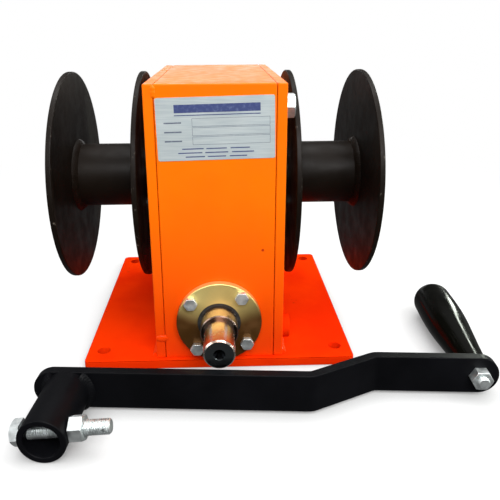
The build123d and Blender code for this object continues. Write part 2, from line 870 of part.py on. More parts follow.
def drum_ends():
    """End washers and bolts that hold both drums, and the rope clamps on their flanges."""
    washer_face = outer_flange_face + end_washer_thickness
    with BuildPart() as washers:
        for side in (-1, 1):
            plane = across(side * outer_flange_face, 0, drum_axis_height, side)
            bore = end_thread + thread_clearance
            add(ring(plane, end_washer_diameter, bore, end_washer_thickness))
    save(washers.part, "drum_end_washers")
    ends = [across(side * washer_face, 0, drum_axis_height, side).location for side in (-1, 1)]
    group("drum_end_bolts", hex_bolt(end_thread, end_bolt_length), ends)

    with BuildPart() as clamps:
        for side in (-1, 1):
            with BuildSketch(across(side * outer_flange_face, 0, drum_axis_height, side)):
                with Locations((clamp_radius, 0)):
                    RectangleRounded(clamp_width, clamp_length, clamp_corner)
                    with GridLocations(1, clamp_length / 2, 1, 2):
                        Circle(small_hole / 2, mode=Mode.SUBTRACT)
            extrude(amount=clamp_thickness)
            groove = Plane(
                origin=(side * outer_flange_face, clamp_radius - clamp_width, drum_axis_height),
                x_dir=(1, 0, 0),
                z_dir=(0, 1, 0),
            )
            with BuildSketch(groove):
                Circle(rope_diameter / 2)
            extrude(amount=2 * clamp_width, mode=Mode.SUBTRACT)
    save(clamps.part, "rope_clamps")
    face = outer_flange_face + clamp_thickness
    spots = [
        across(side * face, clamp_radius, drum_axis_height + offset, side).location
        for side in (-1, 1)
        for offset in (-clamp_length / 4, clamp_length / 4)
    ]
    group("rope_clamp_bolts", hex_bolt(small_thread, clamp_thickness + drum_flange_thickness), spots)


def plugs_and_label():
    """The hex filler plug on its washer, the round drain plug and the rating plate."""
    filler_y = casing_front + filler_from_front
    seat = across(side_outer, filler_y, filler_height, 1)
    bore = filler_thread + thread_clearance
    washer = ring(seat, filler_washer_diameter, bore, filler_washer_thickness)
    save(washer, "filler_washer")
    plug = hex_bolt(filler_thread, plate + filler_washer_thickness)
    group("oil_filler_plug", plug, [seat.offset(filler_washer_thickness).location])

    with BuildPart() as drain:
        drain_y = casing_front + drain_from_front
        with BuildSketch(across(side_outer, drain_y, drain_height, 1)):
            Circle(drain_diameter / 2)
        extrude(amount=drain_cap)
        fillet(drain.edges().sort_by(Axis.X)[-1], drain_round)
        with BuildSketch(across(side_outer, drain_y, drain_height, -1)):
            Circle(drain_thread / 2)
        extrude(amount=plate)
    save(drain.part, "drain_plug")

    middle = casing_top - label_from_top
    tilt = radians(label_tilt)
    plane = Plane(
        origin=(0, casing_front, middle), x_dir=(cos(tilt), 0, sin(tilt)), z_dir=(0, -1, 0)
    )
    with BuildPart() as label:
        with BuildSketch(plane):
            RectangleRounded(label_width, label_height, label_corner)
        extrude(amount=label_thickness)
    save(label.part, "rating_plate")


yaw = radians(crank_yaw)
crank_right = Vector(cos(yaw), sin(yaw), 0)
crank_back = Vector(-sin(yaw), cos(yaw), 0)
roll = radians(cross_bolt_roll)
cross_out = crank_right * cos(roll) + Vector(0, 0, sin(roll))
cross_up = crank_right * -sin(roll) + Vector(0, 0, cos(roll))


def crank_spot(right, back, height):
    """A point in the crank's own frame: along its arm, away from its mouth, and up."""
    start = Vector(crank_left, crank_front, 0)
    return start + crank_right * right + crank_back * back + Vector(0, 0, height)


def crank_plane(right, back, height, way):
    """A plane across the socket axis, facing away from the mouth for way 1."""
    return Plane(
        origin=crank_spot(right, back, height), x_dir=crank_right, z_dir=crank_back * way
    )


def crank_arm():
    """A flat bar on edge with rounded ends and a set-back outer half."""
    half_turn = atan(arm_offset / (joggle_end - joggle_start)) / 2
    slip = arm_thickness * tan(half_turn)
    left = -arm_overhang - arm_height / 2
    right = crank_throw + arm_height / 2
    outer_bend = bend_radius + arm_thickness
    floor = Plane(
        origin=crank_spot(0, 0, arm_bottom), x_dir=crank_right, z_dir=(0, 0, 1)
    )
    with BuildPart() as arm:
        with BuildSketch(floor):
            with BuildLine():
                near = FilletPolyline(
                    (left, 0),
                    (joggle_start, 0),
                    (joggle_end, arm_offset),
                    (right, arm_offset),
                    radius=(outer_bend, bend_radius),
                )
                far = FilletPolyline(
                    (left, arm_thickness),
                    (joggle_start - slip, arm_thickness),
                    (joggle_end - slip, arm_offset + arm_thickness),
                    (right, arm_offset + arm_thickness),
                    radius=(bend_radius, outer_bend),
                )
                Line(near @ 0, far @ 0)
                Line(near @ 1, far @ 1)
            make_face()
        extrude(amount=arm_height)
        middle = (crank_throw - arm_overhang) / 2
        with BuildSketch(crank_plane(middle, -1, arm_axis_height, 1)):
            SlotCenterToCenter(crank_throw + arm_overhang, arm_height)
        extrude(amount=arm_offset + arm_thickness + 2, mode=Mode.INTERSECT)
        with BuildSketch(crank_plane(crank_throw, 0, arm_axis_height, 1)):
            Circle((spindle_diameter + thread_clearance) / 2)
        extrude(amount=arm_offset + 2 * arm_thickness, mode=Mode.SUBTRACT)
    save(arm.part, "crank_arm")


def crank_socket():
    """The socket tube, the bead round its root, and the cross bolt with its nut."""
    radius = socket_diameter / 2
    bolt_back = cross_bolt_from_mouth - socket_length
    with BuildPart() as tube:
        with BuildSketch(crank_plane(0, -socket_length, crank_axis_height, 1)):
            Circle(radius)
            Circle(socket_bore / 2, mode=Mode.SUBTRACT)
        extrude(amount=socket_length)
        mouth = tube.edges().filter_by(GeomType.CIRCLE).sort_by(Axis.Y)[:2]
        chamfer(mouth, edge_break)
        cross_centre = crank_spot(0, bolt_back, crank_axis_height)
        with BuildSketch(Plane(origin=cross_centre, x_dir=cross_up, z_dir=cross_out)):
            Circle(cross_hole / 2)
        extrude(amount=socket_diameter, both=True, mode=Mode.SUBTRACT)
    save(tube.part, "crank_socket")

    with BuildPart() as bead:
        with BuildSketch(crank_plane(0, 0, crank_axis_height, -1)):
            Circle(radius + weld_leg)
            Circle(radius, mode=Mode.SUBTRACT)
        extrude(amount=weld_leg, taper=bead_taper)
        middle = (crank_throw - arm_overhang) / 2
        with BuildSketch(crank_plane(middle, 0, arm_axis_height, -1)):
            SlotCenterToCenter(crank_throw + arm_overhang, arm_height)
        extrude(amount=weld_leg, mode=Mode.INTERSECT)
        with BuildSketch(crank_plane(0, 0, crank_axis_height, -1)):
            Circle(radius)
        extrude(amount=weld_leg, mode=Mode.SUBTRACT)
    save(bead.part, "crank_weld")

    head_seat = Plane(
        origin=cross_centre - cross_out * radius, x_dir=crank_back, z_dir=-cross_out
    )
    plain_bolt = hex_bolt(cross_thread, cross_bolt_length)
    tip = cross_bolt_length - radius - cotter_from_end
    cotter_spot = cross_centre + cross_out * tip - crank_back * cross_thread
    with BuildPart() as bolt:
        with Locations(head_seat.location):
            add(plain_bolt)
        with BuildSketch(Plane(origin=cotter_spot, x_dir=cross_out, z_dir=crank_back)):
            Circle(cotter_hole / 2)
        extrude(amount=2 * cross_thread, mode=Mode.SUBTRACT)
    save(bolt.part, "crank_bolt")

    nut_seat = Plane(
        origin=cross_centre + cross_out * radius, x_dir=cross_up, z_dir=cross_out
    )
    group("crank_nut", hex_nut_piece(cross_thread), [nut_seat.location])


def crank_grip():
    """The revolving grip on its spindle, with the washer behind the arm and the nut in front."""
    back_face = arm_offset + arm_thickness
    head_start = grip_start + grip_length - spindle_pocket + grip_float
    stud_start = arm_offset - hex_nut[spindle_diameter] - stud_end
    with BuildPart() as spindle:
        with BuildSketch(crank_plane(crank_throw, stud_start, arm_axis_height, 1)):
            Circle(spindle_diameter / 2)
        extrude(amount=head_start - stud_start)
        chamfer(spindle.edges().filter_by(GeomType.CIRCLE).sort_by(Axis.Y)[0], spindle_chamfer)
        with BuildSketch(crank_plane(crank_throw, head_start, arm_axis_height, 1)):
            Circle(spindle_head_diameter / 2)
        extrude(amount=spindle_head_height)
    save(spindle.part, "grip_spindle")

    nut_seat = crank_plane(crank_throw, arm_offset, arm_axis_height, -1)
    group("spindle_nut", hex_nut_piece(spindle_diameter), [nut_seat.location])
    washer = ring(
        crank_plane(crank_throw, back_face, arm_axis_height, 1),
        spindle_washer_diameter,
        spindle_diameter + thread_clearance,
        spindle_washer_thickness,
    )
    save(washer, "spindle_washer")

    root = grip_root_diameter / 2
    end_radius = grip_end_diameter / 2
    pocket = spindle_pocket_diameter / 2
    shoulder = grip_length - grip_dome
    turn = acos(pocket / end_radius)
    dome_end = shoulder + grip_dome * sin(turn)
    axis_start = crank_spot(crank_throw, grip_start, arm_axis_height)
    with BuildPart() as grip:
        with BuildSketch(Plane(origin=axis_start, x_dir=crank_back, z_dir=crank_right)):
            with BuildLine():
                side = Spline(
                    (grip_root_edge, root),
                    (grip_waist_at, grip_waist_diameter / 2),
                    (grip_widest_at, grip_diameter / 2),
                    (shoulder, end_radius),
                )
                dome = ThreePointArc(
                    side @ 1,
                    (shoulder + grip_dome * sin(turn / 2), end_radius * cos(turn / 2)),
                    (dome_end, pocket),
                )
                Line(dome @ 1, (dome_end, 0))
                Line((dome_end, 0), (0, 0))
                Line((0, 0), (0, root - grip_root_edge))
                Line((0, root - grip_root_edge), side @ 0)
            make_face()
        revolve(axis=Axis(axis_start, crank_back))
        with BuildSketch(crank_plane(crank_throw, grip_start, arm_axis_height, 1)):
            Circle((spindle_diameter + thread_clearance) / 2)
        extrude(amount=grip_length, mode=Mode.SUBTRACT)
        pocket_start = grip_start + grip_length - spindle_pocket
        with BuildSketch(crank_plane(crank_throw, pocket_start, arm_axis_height, 1)):
            Circle(pocket)
        extrude(amount=spindle_pocket, mode=Mode.SUBTRACT)
    save(grip.part, "crank_grip")


base_plate()
side_plate("left_side_plate", -1, False)
side_plate("right_side_plate", 1, True)
front_plate()
top_plate()
rear_closure()
casing_welds()
input_bearings()
drum_bearings()
plugs_and_label()
worm_shaft()
worm()
drum_shaft()
worm_wheel()
rope_drum("left", -1)
rope_drum("right", 1)
drum_ends()
crank_arm()
crank_socket()
crank_grip()
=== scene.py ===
import json
from math import acos, cos, pi, radians, sin, sqrt, tan

import bmesh
import bpy
from mathutils import Matrix, Vector


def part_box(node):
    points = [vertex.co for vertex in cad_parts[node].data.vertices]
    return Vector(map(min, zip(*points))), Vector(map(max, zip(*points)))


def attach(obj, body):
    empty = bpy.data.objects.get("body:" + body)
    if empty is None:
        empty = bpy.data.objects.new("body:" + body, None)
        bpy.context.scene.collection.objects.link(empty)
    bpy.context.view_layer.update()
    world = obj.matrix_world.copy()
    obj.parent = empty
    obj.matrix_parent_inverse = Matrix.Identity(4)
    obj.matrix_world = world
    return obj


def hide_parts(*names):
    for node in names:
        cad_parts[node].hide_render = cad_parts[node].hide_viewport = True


# A hand-cranked wire rope puller on a white studio floor. Everything is in metres, in the
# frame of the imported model: X along the drum shaft, the input shaft towards -Y, Z up.
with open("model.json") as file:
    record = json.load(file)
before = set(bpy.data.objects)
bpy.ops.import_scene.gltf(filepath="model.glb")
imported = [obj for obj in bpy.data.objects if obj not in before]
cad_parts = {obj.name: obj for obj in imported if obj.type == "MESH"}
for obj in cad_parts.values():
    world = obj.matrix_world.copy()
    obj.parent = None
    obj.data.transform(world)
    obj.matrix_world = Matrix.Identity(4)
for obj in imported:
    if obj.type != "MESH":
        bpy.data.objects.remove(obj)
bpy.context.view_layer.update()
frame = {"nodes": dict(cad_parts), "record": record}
MM = 0.001

# The crank lies in front of the machine, turned a little about Z
CRANK_YAW = radians(-4)
CRANK_ORIGIN = Vector((-0.149, -0.207, 0))
CRANK_THROW = 410 * MM
CRANK_RIGHT = Vector((cos(CRANK_YAW), sin(CRANK_YAW), 0))
CRANK_BACK = Vector((-sin(CRANK_YAW), cos(CRANK_YAW), 0))
UP = Vector((0, 0, 1))
CRANK_AXIS_HEIGHT = 22 * MM
ARM_AXIS_HEIGHT = 23 * MM
SOCKET_RADIUS = 22 * MM
SOCKET_LENGTH = 72.5 * MM
CROSS_BOLT_ROLL = radians(6)

# Edges of the made pieces that are steeper than this stay sharp
SHARP_ANGLE = radians(38)
# A flat end closes on a ring this small
TIP_RADIUS = 0.4 * MM


# ---------------------------------------------------------------- meshes


def make_object(name, verts, faces, body, material, replaces=()):
    """A closed mesh piece that rides on a body and may stand for CAD nodes."""
    mesh = bpy.data.meshes.new(name)
    mesh.from_pydata([tuple(v) for v in verts], [], faces)
    mesh.validate()
    work = bmesh.new()
    work.from_mesh(mesh)
    bmesh.ops.remove_doubles(work, verts=work.verts, dist=1e-6)
    bmesh.ops.recalc_face_normals(work, faces=work.faces)
    work.to_mesh(mesh)
    work.free()
    piece = bpy.data.objects.new(name, mesh)
    bpy.context.scene.collection.objects.link(piece)
    piece.data.materials.append(material)
    mesh.shade_smooth()
    mesh.set_sharp_from_angle(angle=SHARP_ANGLE)
    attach(piece, body)
    if replaces:
        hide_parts(*replaces)
    return piece


def grid_faces(rows, columns, closed_rows=False, start=0):
    """Quads between rows of points, each row a closed loop; the rows may close too."""
    faces = []
    for i in range(rows if closed_rows else rows - 1):
        here = start + i * columns
        there = start + ((i + 1) % rows) * columns
        for j in range(columns):
            k = (j + 1) % columns
            faces.append((here + j, here + k, there + k, there + j))
    return faces


def lathe(stations, origin, axis, side, segments=96):
    """Rings about an axis. A station is (distance, radius), where the radius may depend
    on the angle. Both ends close on the axis."""
    across = axis.cross(side)
    verts = []
    for distance, radius in stations:
        for j in range(segments):
            angle = 2 * pi * j / segments
            r = radius(angle) if callable(radius) else radius
            z = distance(angle) if callable(distance) else distance
            verts.append(origin + axis * z + side * (r * cos(angle)) + across * (r * sin(angle)))
    faces = grid_faces(len(stations), segments)
    last = (len(stations) - 1) * segments
    faces.append(tuple(range(segments)))
    faces.append(tuple(range(last, last + segments)))
    return verts, faces


def thread_stations(start, length, radius, pitch, end_chamfer, steps=10):
    """Rings of a helical thread whose far end is chamfered."""
    depth = 0.61 * pitch
    count = int(length / pitch * steps)
    stations = []
    for i in range(count + 1):
        along = start + length * i / count
        left = start + length - along
        crest = min(radius, radius - end_chamfer + left)

        def wave(angle, along=along, crest=crest):
            phase = (along / pitch - angle / (2 * pi)) % 1
            ridge = abs(2 * phase - 1)
            ridge = min(1, max(0, 1.25 * ridge - 0.125))
            return min(crest, radius - depth * (1 - ridge))

        stations.append((along, wave))
    return stations


def hex_radius(flats):
    """Radius of a hexagon at an angle."""
    def radius(angle):
        turn = (angle + pi / 6) % (pi / 3) - pi / 6
        return flats / 2 / cos(turn)
    return radius


def hex_head_stations(top, height, flats):
    """A hexagon head whose top edge is turned to a 30 degree cone."""
    rim = 0.95 * flats / 2
    corner = hex_radius(flats)

    def fall(angle):
        return top + (corner(angle) - rim) * tan(radians(30))
    return [(top, 0.0005), (top, rim), (fall, corner), (top + height, corner)]


def bead(corners, ups, outs, leg, ripple=2.4 * MM, closed=True):
    """A weld bead in the corner between two faces. At each corner point, up and out are
    the directions along the two faces. The ripples are curved like the weld pool."""
    bulge_steps = 7
    verts = []
    travelled = 0
    for i, (corner, up, out) in enumerate(zip(corners, ups, outs)):
        if i:
            travelled += (corner - corners[i - 1]).length
        row = [corner - (up + out) * (0.25 * leg)]
        for j in range(bulge_steps + 1):
            share = j / bulge_steps
            lag = 0.5 * (2 * share - 1) ** 2
            phase = (travelled / ripple + lag) % 1
            wander = 0.04 * sin(travelled * 311) * sin(travelled * 127)
            swell = 1 + 0.10 * (1 - phase) - 0.05 + wander
            angle = share * pi / 2
            reach = leg * swell * (0.80 + 0.20 * (abs(2 * share - 1)) ** 2)
            row.append(corner + out * (reach * cos(angle)) + up * (reach * sin(angle)))
        verts += row
    columns = bulge_steps + 2
    faces = grid_faces(len(corners), columns, closed_rows=closed)
    if not closed:
        last = (len(corners) - 1) * columns
        faces.append(tuple(range(columns)))
        faces.append(tuple(range(last, last + columns)))
    return verts, faces


def join_parts(parts):
    """Several vertex and face lists as one."""
    verts, faces = [], []
    for more_verts, more_faces in parts:
        shift = len(verts)
        verts += more_verts
        faces += [tuple(k + shift for k in face) for face in more_faces]
    return verts, faces


def box_part(centre, half_x, half_y, half_z, x=Vector((1, 0, 0)), y=Vector((0, 1, 0)), z=UP):
    """A box about a centre, along three directions."""
    verts = []
    for i in (-1, 1):
        for j in (-1, 1):
            for k in (-1, 1):
                verts.append(centre + x * (i * half_x) + y * (j * half_y) + z * (k * half_z))
    faces = [(0, 1, 3, 2), (4, 6, 7, 5), (0, 4, 5, 1), (2, 3, 7, 6), (0, 2, 6, 4), (1, 5, 7, 3)]
    return verts, faces


# ---------------------------------------------------------------- materials


class Recipe:
    """A node material built around one principled shader."""

    def __init__(self, name, color, metallic=0.0, roughness=0.4, **sockets):
        self.material = bpy.data.materials.new(name)
        self.material.use_nodes = True
        self.tree = self.material.node_tree
        self.shader = self.tree.nodes["Principled BSDF"]
        self.set("Base Color", (*color, 1))
        self.set("Metallic", metallic)
        self.set("Roughness", roughness)
        for socket, value in sockets.items():
            self.set(socket.replace("_", " "), value)
        self.place = self.node("ShaderNodeTexCoord").outputs["Object"]

    def set(self, socket, value):
        self.shader.inputs[socket].default_value = value

    def node(self, kind, inputs=(), **settings):
        made = self.tree.nodes.new(kind)
        for key, value in settings.items():
            setattr(made, key, value)
        for key, value in dict(inputs).items():
            if isinstance(value, bpy.types.NodeSocket):
                self.tree.links.new(value, made.inputs[key])
            else:
                made.inputs[key].default_value = value
        return made

    def link(self, value, socket):
        self.tree.links.new(value, self.shader.inputs[socket])

    def math(self, operation, a, b=0.0, c=0.0, clamp=False):
        made = self.node(
            "ShaderNodeMath", {0: a, 1: b, 2: c}, operation=operation, use_clamp=clamp
        )
        return made.outputs[0]

    def axes(self):
        split = self.node("ShaderNodeSeparateXYZ", {0: self.place})
        return split.outputs[0], split.outputs[1], split.outputs[2]

    def reach(self, a, b):
        """The length of a run of a one way and b at right angles to it."""
        squares = self.math("ADD", self.math("POWER", a, 2), self.math("POWER", b, 2))
        return self.math("SQRT", squares)

    def noise(self, size, detail=3.0, rough=0.55, stretch=(1, 1, 1)):
        """Noise from 0 to 1 whose blobs are about size metres across."""
        place = self.place
        if stretch != (1, 1, 1):
            place = self.node("ShaderNodeMapping", {"Vector": place, "Scale": stretch}).outputs[0]
        made = self.node(
            "ShaderNodeTexNoise",
            {"Vector": place, "Scale": 0.5 / size, "Detail": detail, "Roughness": rough},
        )
        return made.outputs["Fac"]

    def between(self, value, low, high, to_low=0.0, to_high=1.0):
        """Maps value from low...high to another range, clamped and smooth."""
        made = self.node(
            "ShaderNodeMapRange",
            {
                "Value": value, "From Min": low, "From Max": high,
                "To Min": to_low, "To Max": to_high,
            },
            interpolation_type="SMOOTHSTEP",
        )
        return made.outputs[0]

    def mix(self, share, first, second):
        """Mixes two colours by a share."""
        made = self.node("ShaderNodeMix", data_type="RGBA")
        for index, value in ((0, share), (6, first), (7, second)):
            if isinstance(value, bpy.types.NodeSocket):
                self.tree.links.new(value, made.inputs[index])
            else:
                made.inputs[index].default_value = value if index == 0 else (*value, 1)
        return made.outputs[2]

    def bump(self, layers):
        """Chains bumps. A layer is (height value, depth in metres at full height)."""
        normal = None
        for height, depth in layers:
            inputs = {"Height": height, "Distance": depth, "Strength": 1.0}
            if normal:
                inputs["Normal"] = normal
            normal = self.node("ShaderNodeBump", inputs).outputs[0]
        self.link(normal, "Normal")


def enamel(
    name, color, shade, roughness, peel=0.00006, chips=0.0, chip_color=(0.12, 0.1, 0.09), **more
):
    """Brushed or sprayed enamel: orange peel, faint runs, uneven gloss and small chips."""
    paint = Recipe(name, color, roughness=roughness, **more)
    cloud = paint.noise(0.05, 4)
    tone = paint.mix(paint.between(cloud, 0.35, 0.68), color, shade)
    fine = paint.noise(0.0012, 2)
    drag = paint.noise(0.010, 3, stretch=(1, 1, 0.25))
    if chips:
        spots = paint.noise(0.0022, 3, 0.6)
        spots = paint.math("MULTIPLY", spots, paint.between(paint.noise(0.03, 2), 0.45, 0.7))
        mask = paint.between(spots, 0.46 - chips, 0.5 - chips)
        tone = paint.mix(mask, tone, chip_color)
    paint.link(tone, "Base Color")
    gloss = paint.between(paint.noise(0.008, 4), 0.3, 0.7, roughness - 0.06, roughness + 0.08)
    paint.link(gloss, "Roughness")
    paint.bump([(drag, 4 * peel), (fine, peel)])
    return paint


def casing_enamel():
    """Orange enamel, turned redder and darker low down as painted shade, with one chip on the front.
    """
    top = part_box("top_plate")[1].z
    paint = Recipe(
        "casing_enamel", (0.9, 0.19, 0.004), roughness=0.34, Specular_IOR_Level=0.12
    )
    x, y, z = paint.axes()
    # Painted shade: the colour runs from orange at the top to a darker red at the bottom.
    height = paint.between(z, 0.0, 0.72 * top)
    tone = paint.mix(height, (0.85, 0.040, 0.001), (0.93, 0.165, 0.001))
    cloud = paint.between(paint.noise(0.045, 4), 0.35, 0.7)
    tone = paint.mix(paint.math("MULTIPLY", cloud, 0.25), tone, (0.80, 0.10, 0.003))
    chip_x = paint.math("SUBTRACT", x, 47 * MM)
    chip_z = paint.math("SUBTRACT", z, 137 * MM)
    wobble = paint.math("MULTIPLY", paint.noise(0.001, 2), 0.0016)
    away = paint.math("ADD", paint.reach(chip_x, chip_z), wobble)
    on_front = paint.math("LESS_THAN", y, -130 * MM)
    chip = paint.math("MULTIPLY", paint.between(away, 0.0026, 0.0020), on_front)
    tone = paint.mix(chip, tone, (0.45, 0.02, 0.003))
    paint.link(tone, "Base Color")
    gloss = paint.between(paint.noise(0.006, 4), 0.3, 0.7, 0.28, 0.40)
    paint.link(gloss, "Roughness")
    drag = paint.noise(0.014, 3, stretch=(1, 1, 0.3))
    paint.bump([(drag, 0.00025), (paint.noise(0.0013, 2), 0.00005), (chip, -0.0001)])
    return paint.material


def rubbed_black(name, color, worn, axis_height, rim_radius, roughness):
    """Satin black enamel on the drums, worn to metal in spots along the flange rims."""
    paint = Recipe(name, color, roughness=roughness, Specular_IOR_Level=0.12)
    y, z = paint.axes()[1:]
    radius = paint.reach(paint.math("SUBTRACT", z, axis_height), y)
    near_rim = paint.between(radius, rim_radius - 0.0025, rim_radius - 0.0004)
    spots = paint.between(paint.noise(0.006, 4, 0.65), 0.63, 0.69)
    scuff = paint.between(paint.noise(0.0025, 3, stretch=(3, 1, 1)), 0.68, 0.80)
    wear = paint.math("MULTIPLY", near_rim, spots)
    dust = paint.between(paint.noise(0.04, 5), 0.40, 0.75)
    tone = paint.mix(paint.math("MULTIPLY", dust, 0.8), color, worn)
    tone = paint.mix(paint.math("MULTIPLY", scuff, 0.3), tone, (0.03, 0.025, 0.02))
    tone = paint.mix(paint.math("MULTIPLY", wear, 0.6), tone, (0.20, 0.17, 0.14))
    paint.link(tone, "Base Color")
    gloss = paint.between(paint.noise(0.012, 4), 0.3, 0.7, roughness - 0.08, roughness + 0.10)
    paint.link(gloss, "Roughness")
    paint.bump([(paint.noise(0.0016, 3), 0.00007), (paint.noise(0.02, 3), 0.0002)])
    return paint.material


def turned(name, color, shade, roughness, centre, across, pitch=0.0005, depth=0.000006, **more):
    """Turned metal: fine concentric or helical tool marks about an axis through centre.
    Gives the recipe, the distance from that axis and the colour, for more to be added."""
    metal = Recipe(name, color, metallic=1.0, roughness=roughness, **more)
    x, y, z = metal.axes()
    parts = {"X": x, "Y": y, "Z": z}
    squares = None
    for letter, middle in zip("XYZ", centre):
        if letter == across:
            continue
        square = metal.math("POWER", metal.math("SUBTRACT", parts[letter], middle), 2)
        squares = square if squares is None else metal.math("ADD", squares, square)
    radius = metal.math("SQRT", squares)
    travel = metal.math("ADD", radius, parts[across])
    wander = metal.math("MULTIPLY", metal.noise(0.012, 1), 0.0006)
    travel = metal.math("ADD", travel, wander)
    groove = metal.math("SINE", metal.math("MULTIPLY", travel, 2 * pi / pitch))
    stain = metal.between(metal.noise(0.03, 3, 0.5), 0.40, 0.80)
    tone = metal.mix(stain, color, shade)
    line = metal.math("MULTIPLY_ADD", groove, 0.12, 0.12)
    tone = metal.mix(line, tone, tuple(0.4 * c for c in shade))
    metal.link(tone, "Base Color")
    smear = metal.between(metal.noise(0.006, 4), 0.3, 0.7, roughness - 0.05, roughness + 0.08)
    metal.link(smear, "Roughness")
    if depth:
        metal.bump([(groove, depth), (metal.noise(0.001, 2), 0.000004)])
    return metal, radius, tone


def plated(name, color, shade, roughness):
    """Zinc plate: a slight crystalline mottle and dull patches."""
    metal = Recipe(name, color, metallic=1.0, roughness=roughness)
    mottle = metal.between(metal.noise(0.0018, 4, 0.65), 0.35, 0.7)
    tone = metal.mix(mottle, color, shade)
    metal.link(tone, "Base Color")
    smear = metal.between(metal.noise(0.003, 3), 0.3, 0.7, roughness - 0.06, roughness + 0.12)
    metal.link(smear, "Roughness")
    metal.bump([(metal.noise(0.0006, 3), 0.00001)])
    return metal.material


def brass_disc():
    """Turned brass with a circular grain and a painted reflection: bright in an upper wedge, brown
    and dark low down and at the sides as painted shade.
    """
    low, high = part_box("front_bearing_flange")
    centre = (low + high) / 2
    reach = (high.x - low.x) / 2
    metal, _, tone = turned(
        "turned_brass", (0.98, 0.80, 0.30), (0.92, 0.70, 0.24), 0.36, centre, "Y",
        pitch=0.0014, depth=0, Anisotropic=0.85,
    )
    x, _, z = metal.axes()
    aside = metal.math("ABSOLUTE", metal.math("SUBTRACT", x, centre.x))
    height = metal.math("SUBTRACT", z, centre.z)
    # Painted reflection and shade: bright gold in an upper wedge, dark brown low down and at the
    # sides.
    painted_reflection_share = metal.math("MULTIPLY_ADD", aside, -0.45, height)
    painted_reflection_share = metal.between(painted_reflection_share, -0.35 * reach, 0.45 * reach)
    metal.link(metal.mix(painted_reflection_share, (0.11, 0.045, 0.008), tone), "Base Color")
    metal.set("Metallic", 0.68)
    tangent = metal.node("ShaderNodeTangent", direction_type="RADIAL", axis="Y")
    metal.link(tangent.outputs[0], "Tangent")
    return metal.material


def shaft_steel():
    """Bright turned steel with a painted reflection that browns and darkens its top, a step behind
    the shaft end darkened as painted shade, a darkened end face and a centre hole darkened as
    painted shade."""
    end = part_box("worm_shaft")[0].y
    step = end + 41 * MM
    face_radius, hole_radius, end_depth = 14.4 * MM, 5.6 * MM, 12 * MM
    axis = input_axis()
    metal, radius, tone = turned(
        "turned_steel", (0.78, 0.66, 0.58), (0.66, 0.52, 0.44), 0.22, axis, "Y",
        pitch=0.0006, depth=0.000005,
    )
    y, z = metal.axes()[1:]
    height = metal.math("SUBTRACT", z, axis.z)
    # Painted reflection: the top of the shaft is browned and darkened.
    painted_reflection_top = metal.between(height, 11 * MM, 15.8 * MM, 0.0, 0.6)
    tone = metal.mix(painted_reflection_top, tone, (0.36, 0.16, 0.08))
    # Painted shade: the step's chamfer is darkened over its highlight.
    behind = metal.math("GREATER_THAN", y, step - 0.2 * MM)
    before = metal.math("LESS_THAN", y, step + 1.3 * MM)
    rim = metal.math("MULTIPLY", behind, before)
    tone = metal.mix(metal.math("MULTIPLY", rim, 0.75), tone, (0.10, 0.06, 0.04))
    inside = metal.math("LESS_THAN", radius, face_radius)
    at_end = metal.math("LESS_THAN", y, end + end_depth)
    hole = metal.math("LESS_THAN", radius, hole_radius)
    face = metal.math("MULTIPLY", inside, at_end)
    tone = metal.mix(face, tone, (0.11, 0.125, 0.13))
    # Painted shade: the centre hole is darker than the end face around it.
    tone = metal.mix(metal.math("MULTIPLY", hole, at_end), tone, (0.03, 0.032, 0.035))
    metal.link(tone, "Base Color")
    return metal.material


def rubbery(name, color, roughness):
    """Gasket sheet, seals and other dull soft parts."""
    stuff = Recipe(name, color, roughness=roughness)
    lighter = tuple(2.2 * c + 0.004 for c in color)
    worn = stuff.between(stuff.noise(0.002, 4), 0.4, 0.75)
    stuff.link(stuff.mix(worn, color, lighter), "Base Color")
    stuff.bump([(stuff.noise(0.0005, 3), 0.00004)])
    return stuff.material


def grip_plastic():
    """Glossy black moulded plastic with faint handling scratches."""
    black = (0.0018, 0.0018, 0.0013)
    stuff = Recipe("moulded_grip", black, roughness=0.16, Specular_IOR_Level=0.08)
    scratch = stuff.between(stuff.noise(0.0016, 3, 0.6, stretch=(1, 0.08, 1)), 0.64, 0.78)
    stuff.link(stuff.mix(scratch, black, (0.007, 0.0075, 0.006)), "Base Color")
    stuff.link(stuff.between(stuff.noise(0.006, 4), 0.3, 0.7, 0.12, 0.22), "Roughness")
    stuff.bump([(stuff.noise(0.02, 2), 0.0002), (stuff.noise(0.0012, 2), 0.000006)])
    return stuff.material


def foil():
    """Brushed silver label foil."""
    metal = Recipe("label_foil", (0.47, 0.52, 0.53), metallic=0.25, roughness=0.42)
    grain = metal.noise(0.0008, 3, stretch=(0.05, 1, 1))
    streak = metal.between(grain, 0.3, 0.7)
    metal.link(metal.mix(streak, (0.43, 0.49, 0.51), (0.52, 0.57, 0.575)), "Base Color")
    metal.link(metal.between(metal.noise(0.01, 3), 0.3, 0.7, 0.34, 0.5), "Roughness")
    metal.bump([(grain, 0.00001)])
    return metal.material


def ink(name, color, ghost):
    """Printing ink, a little uneven."""
    stuff = Recipe(name, color, roughness=0.5)
    faded = stuff.between(stuff.noise(0.0016, 4), 0.45, 0.8)
    stuff.link(stuff.mix(faded, color, ghost), "Base Color")
    return stuff.material


def input_axis():
    """The middle of the input shaft."""
    low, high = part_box("worm_shaft")
    return (low + high) / 2


def drum_axis_height():
    """The height of the drum shaft's axis."""
    low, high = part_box("left_drum_barrel")
    return (low.z + high.z) / 2


